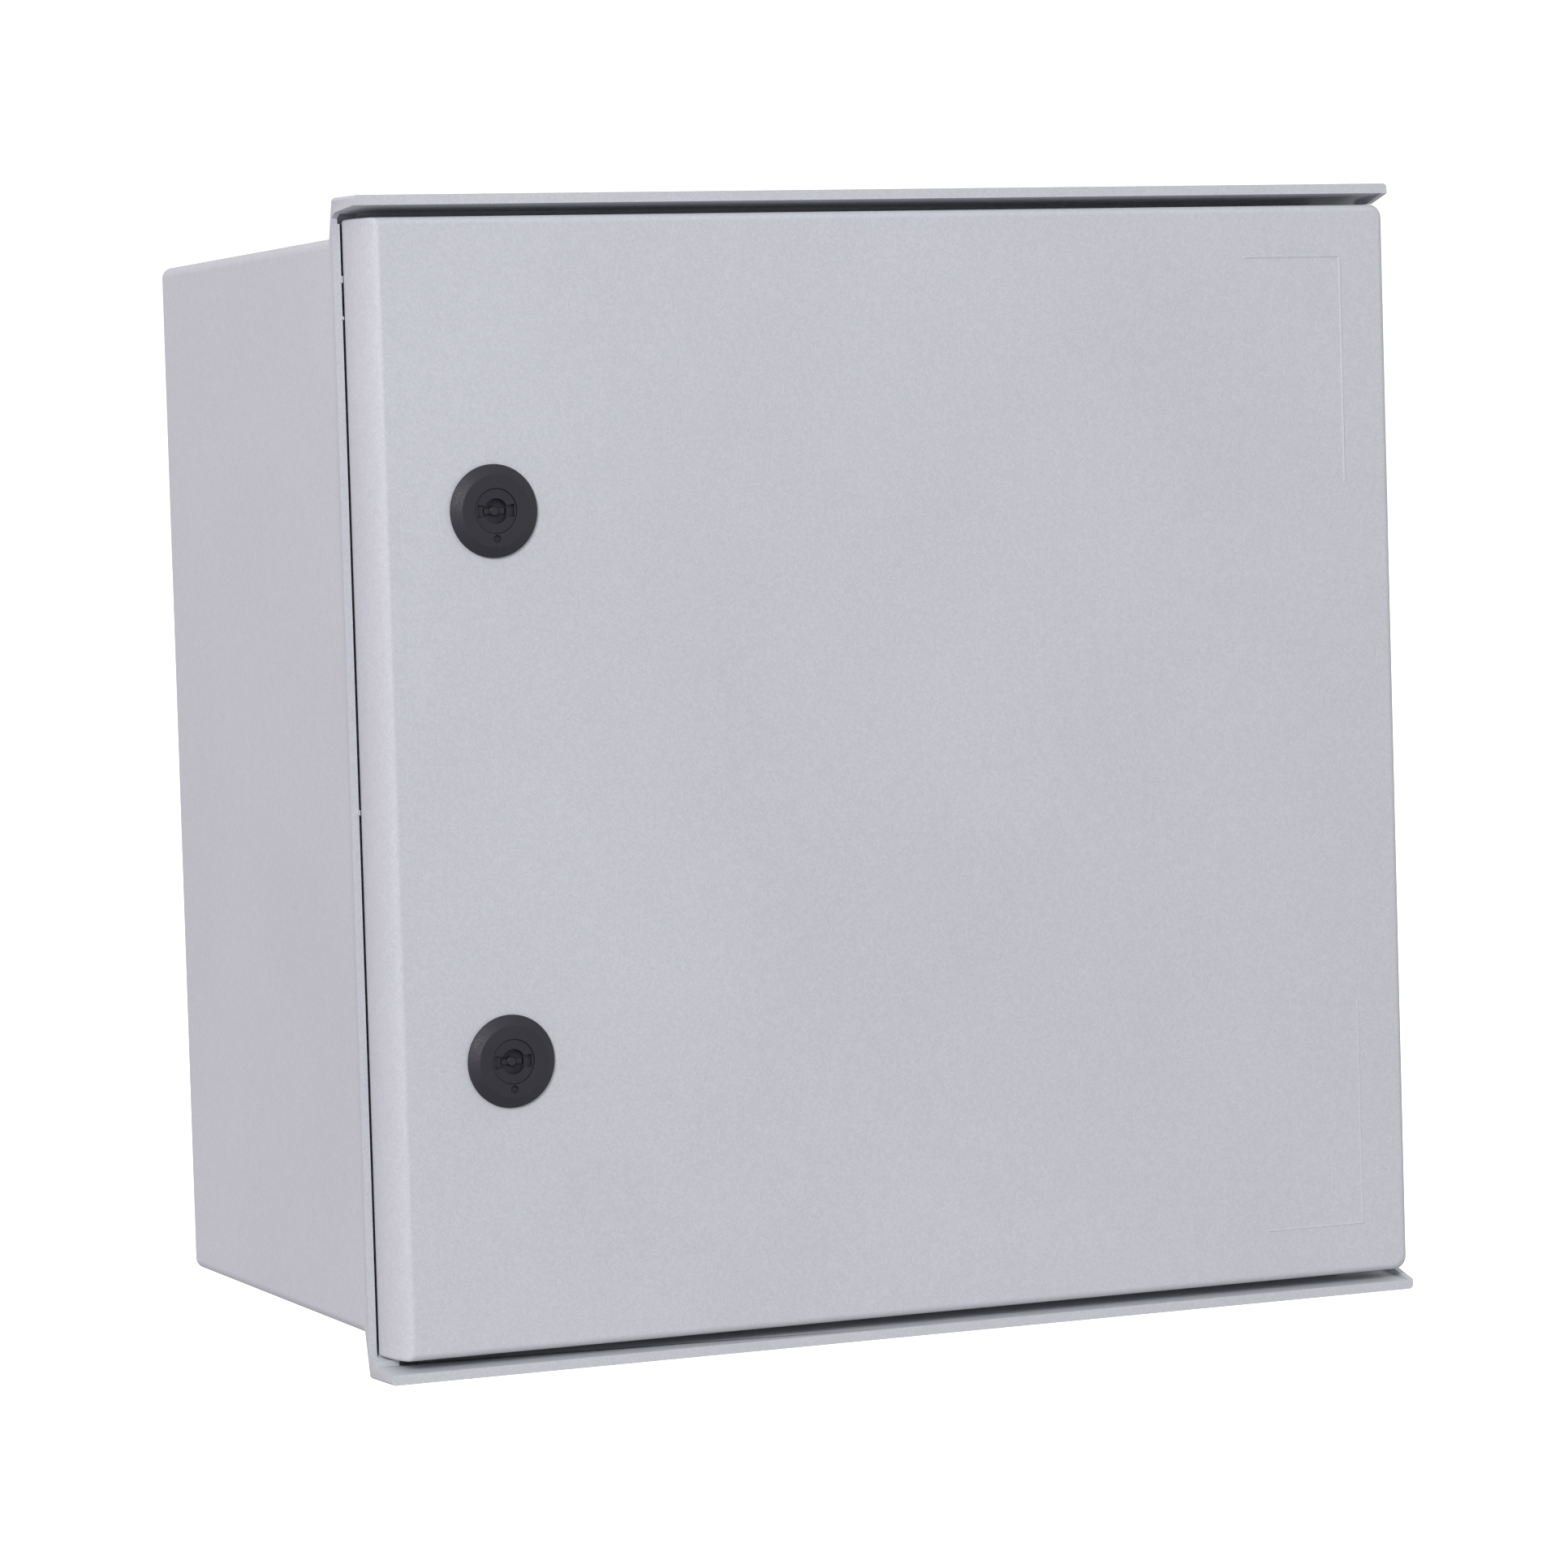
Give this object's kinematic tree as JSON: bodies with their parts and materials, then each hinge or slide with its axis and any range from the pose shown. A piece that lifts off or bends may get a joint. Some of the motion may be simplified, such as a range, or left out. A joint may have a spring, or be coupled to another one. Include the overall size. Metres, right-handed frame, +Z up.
{
  "type": "wall-mounted switchboard cabinet",
  "caption": "Box-shaped polyester wall cabinet with a rain-lipped flange, a hinged door on quarter-turn locks, and rail-mounted switchgear on a plate inside.",
  "frame": {"origin": "centre of the flat back face, which lies against the wall", "axes": "+Z up, +Y into the wall, +X to the right as seen from the front; the door faces -Y and hinges on the +X side"},
  "size_m": [0.534, 0.294, 0.5366],
  "materials": {
    "polyester_body": "light grey glass-fibre polyester, fine satin grain",
    "polyester_door": "light grey glass-fibre polyester, fine satin grain",
    "foam_gasket": "foamed polyurethane, matt skin",
    "galvanised_plate": "galvanised, faint spangle",
    "passivated_rail": "zinc plated, passivated",
    "device_grey": "light grey thermoplastic, fine texture",
    "toggle_red": "red moulded plastic",
    "toggle_blue": "blue moulded plastic",
    "toggle_black": "black moulded plastic",
    "button_yellow": "yellow moulded plastic",
    "terminal_brass": "sawn and drilled brass bar",
    "carrier_plastic": "light grey moulded carrier",
    "plug_plastic": "grey polyethylene",
    "zinc_screw": "zinc plated",
    "hinge_steel": "zinc plated steel",
    "hinge_pin_steel": "drawn stainless pin",
    "lock_polyamide": "black glass-filled polyamide",
    "lock_insert": "black die-cast insert, matt",
    "lock_rubber": "black elastomer",
    "lock_nut_zinc": "die-cast zinc nut",
    "lock_cam_steel": "stamped zinc-plated steel"
  },
  "bodies": {
    "cabinet": {"enclosure_body": "polyester_body", "mounting_plate": "galvanised_plate", "plate_screw_1": "zinc_screw", "plate_screw_2": "zinc_screw", "plate_screw_3": "zinc_screw", "plate_screw_4": "zinc_screw", "wall_plug_1": "plug_plastic", "wall_plug_2": "plug_plastic", "wall_plug_3": "plug_plastic", "wall_plug_4": "plug_plastic", "upper_din_rail": "passivated_rail", "lower_din_rail": "passivated_rail", "rail_screw_1": "zinc_screw", "rail_screw_2": "zinc_screw", "rail_screw_3": "zinc_screw", "rail_screw_4": "zinc_screw", "main_switch_body": "device_grey", "residual_current_body": "device_grey", "breaker_body_1": "device_grey", "breaker_body_2": "device_grey", "breaker_body_3": "device_grey", "breaker_body_4": "device_grey", "breaker_body_5": "device_grey", "breaker_body_6": "device_grey", "neutral_bar_carrier": "carrier_plastic", "neutral_bar": "terminal_brass", "earth_bar_carrier": "carrier_plastic", "earth_bar": "terminal_brass", "upper_hinge_bracket": "hinge_steel", "upper_hinge_screw": "zinc_screw", "upper_hinge_pin": "hinge_pin_steel", "lower_hinge_bracket": "hinge_steel", "lower_hinge_screw": "zinc_screw", "lower_hinge_pin": "hinge_pin_steel"},
    "door": {"door_panel": "polyester_door", "door_gasket": "foam_gasket", "upper_hinge_leaf": "hinge_steel", "upper_lock_housing": "lock_polyamide", "upper_lock_seal": "lock_rubber", "upper_lock_nut": "lock_nut_zinc", "lower_hinge_leaf": "hinge_steel", "lower_lock_housing": "lock_polyamide", "lower_lock_seal": "lock_rubber", "lower_lock_nut": "lock_nut_zinc"},
    "upper_latch": {"upper_lock_rotor": "lock_insert", "upper_lock_cam": "lock_cam_steel", "upper_cam_screw": "zinc_screw"},
    "lower_latch": {"lower_lock_rotor": "lock_insert", "lower_lock_cam": "lock_cam_steel", "lower_cam_screw": "zinc_screw"},
    "main_switch_handle": {"main_switch_toggle": "toggle_red"},
    "residual_current_handle": {"residual_current_toggle": "toggle_blue"},
    "breaker_handle_1": {"breaker_toggle_1": "toggle_black"},
    "breaker_handle_2": {"breaker_toggle_2": "toggle_black"},
    "breaker_handle_3": {"breaker_toggle_3": "toggle_black"},
    "breaker_handle_4": {"breaker_toggle_4": "toggle_black"},
    "breaker_handle_5": {"breaker_toggle_5": "toggle_black"},
    "breaker_handle_6": {"breaker_toggle_6": "toggle_black"},
    "residual_current_test_key": {"residual_current_test_button": "button_yellow"}
  },
  "joints": [
    {"name": "door_hinge", "type": "hinge", "parent": "cabinet", "child": "door", "pos_m": [0.254, -0.278, 0], "axis": [0, 0, 1], "range_deg": [0, 120]},
    {"name": "upper_latch_turn", "type": "hinge", "parent": "door", "child": "upper_latch", "pos_m": [-0.204, -0.27, 0.125], "axis": [0, -1, 0], "range_deg": [0, 90]},
    {"name": "lower_latch_turn", "type": "hinge", "parent": "door", "child": "lower_latch", "pos_m": [-0.204, -0.27, -0.125], "axis": [0, -1, 0], "range_deg": [0, 90]},
    {"name": "main_switch_throw", "type": "hinge", "parent": "cabinet", "child": "main_switch_handle", "pos_m": [-0.0356, -0.08, 0.11], "axis": [-1, 0, 0], "range_deg": [0, 50]},
    {"name": "residual_current_throw", "type": "hinge", "parent": "cabinet", "child": "residual_current_handle", "pos_m": [0.0356, -0.08, 0.11], "axis": [-1, 0, 0], "range_deg": [0, 50]},
    {"name": "breaker_throw_1", "type": "hinge", "parent": "cabinet", "child": "breaker_handle_1", "pos_m": [-0.0445, -0.08, -0.03], "axis": [-1, 0, 0], "range_deg": [0, 50]},
    {"name": "breaker_throw_2", "type": "hinge", "parent": "cabinet", "child": "breaker_handle_2", "pos_m": [-0.0267, -0.08, -0.03], "axis": [-1, 0, 0], "range_deg": [0, 50]},
    {"name": "breaker_throw_3", "type": "hinge", "parent": "cabinet", "child": "breaker_handle_3", "pos_m": [-0.0089, -0.08, -0.03], "axis": [-1, 0, 0], "range_deg": [0, 50]},
    {"name": "breaker_throw_4", "type": "hinge", "parent": "cabinet", "child": "breaker_handle_4", "pos_m": [0.0089, -0.08, -0.03], "axis": [-1, 0, 0], "range_deg": [0, 50]},
    {"name": "breaker_throw_5", "type": "hinge", "parent": "cabinet", "child": "breaker_handle_5", "pos_m": [0.0267, -0.08, -0.03], "axis": [-1, 0, 0], "range_deg": [0, 50]},
    {"name": "breaker_throw_6", "type": "hinge", "parent": "cabinet", "child": "breaker_handle_6", "pos_m": [0.0445, -0.08, -0.03], "axis": [-1, 0, 0], "range_deg": [0, 50]},
    {"name": "test_button_press", "type": "slide", "parent": "cabinet", "child": "residual_current_test_key", "axis": [0, 1, 0], "range_m": [0, 0.0018], "stiffness_N_per_m": 500}
  ]
}
